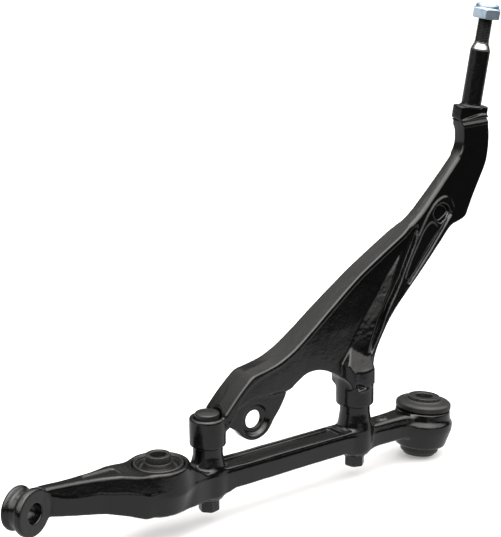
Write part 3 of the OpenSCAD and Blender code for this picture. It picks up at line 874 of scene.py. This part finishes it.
finish_piece(ring, NYLON, "nut_carrier", "nylon", "nut_insert")

# ------------------------------------------------------------------ clamping bolts and the plug

def bolt(name, px, turn, length, node):
    B = Field((-9.5, -9.5, -18), (9.5, 9.5, -5.6), 0.25)
    u, v, w = B.whole()
    rad = np.hypot(u, v)
    hx = hex_d(v, u, 14.0)
    head = round_and(hx, np.maximum(-17.0 - w, w + 8.6), 0.3)
    head = smax(head, (rad - 7.3 - (w + 17.0) * 1.6) / 1.9, 0.25)
    head = smax(head, -(np.sqrt(rad ** 2 + (w + 26.0) ** 2) - 10.2), 0.5)
    wash = round_and(rad - 8.5, np.abs(w + 8.05) - 0.95, 0.35)
    head = smin(head, wash, 0.8)
    B.d[:] = head
    vv, qq, nn = skin(B)
    Am = np.array(place((px, 0, 0), (0, 0, turn)))
    ob = new_mesh(name + "_head", vv @ Am[:3, :3].T + Am[:3, 3], qq, nn @ Am[:3, :3].T)
    finish_piece(ob, BOLT_MAT, "arm", "black_steel", node)
    sh = turned(name + "_shank", fillet([(0, -8), (5.0, -8), (5.0, length - 9.2), (4.1, length - 8.1), (0, length - 8.1)], 0.2, support=0), place((px, 0, 0)), 64)
    finish_piece(sh, BOLT_MAT, "arm", "black_steel", node)


bolt("bolt_left", LEFT_X, 12, 58, "radius_bolt_left")
bolt("bolt_right", RIGHT_X, 40, 62, "radius_bolt_right")

plug = turned("post_plug", [(0, 52.05), (9.45, 52.05)] + [(9.45 - 0.0 * k, 55 + k) for k in range(3)] + [(9.45, 60.4), (9.25, 61.0), (8.8, 61.35)] +
              [(8.8 * (1 - k / 8.0), 61.35 + 1.1 * (1 - ((8 - k) / 8.0) ** 2)) for k in range(1, 9)], place((LEFT_X, 0, 0)), 96)
finish_piece(plug, BOLT_MAT, "arm", "black_steel", "boss_plug")

# ------------------------------------------------------------------ fork bush

fo = turned("fork_ring", fillet([(17.0, -1.0), (18.97, -1.0), (18.97, 32.2, 0.3), (18.55, 32.85, 0.35), (17.5, 32.85, 0.35), (17.0, 32.2, 0.3)], 0.3), AT_FORK, 160)
finish_piece(fo, SLEEVE, "arm", "sleeve_steel", "fork_bush_outer")
fr = turned("fork_rubber", fillet([(9.56, 2.0, 0.5), (13, -0.3, 1.5), (16.97, 0.2, 0.4), (16.97, 31.4, 0.3), (16.2, 31.5, 0.5), (14.6, 28.4, 1.6), (12.6, 28.4, 2.2), (11.2, 31.4, 1.6),
                                   (10.6, 34.0, 0.5), (9.56, 34.4, 0.3)], 0.5, support=0), AT_FORK, 160)
finish_piece(fr, RUBBER, "arm", "rubber", "fork_bush_rubber")
fi = turned("fork_sleeve_body", fillet([(6.1, -4.5, 0.8), (9.5, -4.5, 0.5), (9.5, 39.5, 0.55), (6.1, 39.5, 0.9)], 0.5), AT_FORK, 160)
finish_piece(fi, SLEEVE, "fork_sleeve", "sleeve_steel", "fork_bush_inner")

# ------------------------------------------------------------------ pivot bush

po = turned("pivot_ring", fillet([(16.6, -16.0, 0.2), (17.98, -16.0, 0.4), (17.98, 14.0, 0.1), (16.6, 14.0, 0.1)], 0.2), AT_PIVOT, 160)
finish_piece(po, SLEEVE, "arm", "sleeve_steel", "pivot_bush_outer")
pr = turned("pivot_rubber", fillet([(13.06, -22.0, 0.4), (14.7, -22.4, 0.5), (15.5, -21.2, 0.6), (15.8, -17.2, 1.0), (16.55, -15.2, 0.4), (16.55, 14.25, 0.1), (21.2, 14.25, 0.7),
                                    (22.6, 15.6, 1.0), (22.55, 18.9, 1.4), (20.6, 20.5, 1.6), (15.6, 21.4, 1.2), (14.6, 22.3, 0.6), (13.06, 22.3, 0.3)], 0.5, support=0), AT_PIVOT, 176)
finish_piece(pr, RUBBER, "arm", "rubber", "pivot_bush_rubber")
pi_ = turned("pivot_sleeve_body", fillet([(7.1, -24.5, 0.8), (13.0, -24.5, 0.6), (13.0, 24.5, 0.7), (7.1, 24.5, 1.1)], 0.6), AT_PIVOT, 160)
finish_piece(pi_, SLEEVE, "pivot_sleeve", "sleeve_steel", "pivot_bush_inner")

# ------------------------------------------------------------------ floor and light

FLOOR_Z = -27.0 * MM
me = bpy.data.meshes.new("floor")
me.from_pydata([(-30, -30, FLOOR_Z), (30, -30, FLOOR_Z), (30, 30, FLOOR_Z), (-30, 30, FLOOR_Z)], [], [(0, 1, 2, 3)])
floor_ob = bpy.data.objects.new("floor", me)
scene.collection.objects.link(floor_ob)
fm = bpy.data.materials.new("floor")
fm.use_nodes = True
nt = fm.node_tree
nt.nodes.clear()
out = nt.nodes.new("ShaderNodeOutputMaterial")
lp = nt.nodes.new("ShaderNodeLightPath")
dif = nt.nodes.new("ShaderNodeBsdfDiffuse")
dif.inputs["Color"].default_value = (0.66, 0.66, 0.66, 1)
em = nt.nodes.new("ShaderNodeEmission")
em.inputs["Strength"].default_value = 0.20
add = nt.nodes.new("ShaderNodeAddShader")
nt.links.new(dif.outputs[0], add.inputs[0])
nt.links.new(em.outputs[0], add.inputs[1])
# what the glossy paint sees of the floor: white paper near the part, a dim room beyond its front edge
geo = nt.nodes.new("ShaderNodeNewGeometry")
sep = nt.nodes.new("ShaderNodeSeparateXYZ")
nt.links.new(geo.outputs["Position"], sep.inputs[0])
mr = nt.nodes.new("ShaderNodeMapRange")
mr.interpolation_type = "SMOOTHSTEP"
mr.inputs["From Min"].default_value = -0.31
mr.inputs["From Max"].default_value = -0.22
mr.inputs["To Min"].default_value = 0.03
mr.inputs["To Max"].default_value = 0.66
nt.links.new(sep.outputs["Y"], mr.inputs["Value"])
em2 = nt.nodes.new("ShaderNodeEmission")
nt.links.new(mr.outputs["Result"], em2.inputs["Strength"])
mix = nt.nodes.new("ShaderNodeMixShader")
nt.links.new(lp.outputs["Is Camera Ray"], mix.inputs["Fac"])
nt.links.new(em2.outputs[0], mix.inputs[1])
nt.links.new(add.outputs[0], mix.inputs[2])
nt.links.new(mix.outputs[0], out.inputs["Surface"])
me.materials.append(fm)

world = bpy.data.worlds.new("studio")
scene.world = world
world.use_nodes = True
nt = world.node_tree
nt.nodes.clear()
out = nt.nodes.new("ShaderNodeOutputWorld")
bg = nt.nodes.new("ShaderNodeBackground")
bgc = nt.nodes.new("ShaderNodeBackground")
bgc.inputs["Color"].default_value = (1, 1, 1, 1)
bgc.inputs["Strength"].default_value = 1.05
lp = nt.nodes.new("ShaderNodeLightPath")
tc = nt.nodes.new("ShaderNodeTexCoord")
sep = nt.nodes.new("ShaderNodeSeparateXYZ")
nt.links.new(tc.outputs["Generated"], sep.inputs[0])


def wmath(op, a, b=None, clamp=False):
    n = nt.nodes.new("ShaderNodeMath")
    n.operation = op
    n.use_clamp = clamp
    for i, val in enumerate((a, b)):
        if val is None:
            continue
        if isinstance(val, (int, float)):
            n.inputs[i].default_value = val
        else:
            nt.links.new(val, n.inputs[i])
    return n.outputs[0]


def wstep(val, lo, hi):
    n = nt.nodes.new("ShaderNodeMapRange")
    n.interpolation_type = "SMOOTHSTEP"
    n.inputs["From Min"].default_value = lo
    n.inputs["From Max"].default_value = hi
    nt.links.new(val, n.inputs["Value"])
    return n.outputs["Result"]


back = wstep(sep.outputs["Y"], -0.05, 0.35)          # the lit backdrop, brighter further up
front = wmath("SUBTRACT", 1.0, back)
rise = wmath("MULTIPLY", wstep(sep.outputs["Z"], 0.40, 0.62), 0.74)
backdrop = wmath("MULTIPLY", back, wmath("ADD", rise, 0.11))
top = wmath("MULTIPLY", wmath("MULTIPLY", wmath("ADD", wstep(sep.outputs["Z"], 0.22, 0.40), wmath("MULTIPLY", wstep(sep.outputs["Z"], 0.42, 0.66), 0.7)), front), 1.90)   # the soft light overhead
over = wmath("MULTIPLY", wstep(sep.outputs["Z"], 0.75, 0.92), 0.5)
sx = wmath("MULTIPLY", wstep(sep.outputs["X"], -0.42, -0.20), wmath("SUBTRACT", 1.0, wstep(sep.outputs["X"], 0.16, 0.34)))
strip = wmath("MULTIPLY", wmath("MULTIPLY", wmath("MULTIPLY", sx, wstep(sep.outputs["Z"], -0.10, 0.05)), front), 0.75)
total = wmath("ADD", wmath("ADD", wmath("ADD", backdrop, top), wmath("ADD", over, strip)), 0.02)
nt.links.new(total, bg.inputs["Strength"])
bg.inputs["Color"].default_value = (1.0, 0.985, 0.96, 1)
mixw = nt.nodes.new("ShaderNodeMixShader")
nt.links.new(lp.outputs["Is Camera Ray"], mixw.inputs["Fac"])
nt.links.new(bg.outputs[0], mixw.inputs[1])
nt.links.new(bgc.outputs[0], mixw.inputs[2])
nt.links.new(mixw.outputs[0], out.inputs["Surface"])


def area(name, loc, target, size, power, color=(1, 1, 1)):
    ld = bpy.data.lights.new(name, "AREA")
    ld.shape = "RECTANGLE"
    ld.size, ld.size_y = size
    ld.energy = power
    ld.color = color
    ob = bpy.data.objects.new(name, ld)
    scene.collection.objects.link(ob)
    ob.location = loc
    ob.rotation_mode = "QUATERNION"
    ob.rotation_quaternion = (Vector(target) - Vector(loc)).to_track_quat("-Z", "Y")
    return ob


area("key_top", (-0.30, 0.05, 1.20), (-0.14, 0.0, 0.05), (1.5, 1.1), 9.0)
area("fill_left", (-1.2, 0.4, 0.85), (-0.15, 0.0, 0.08), (0.7, 0.9), 3.0)
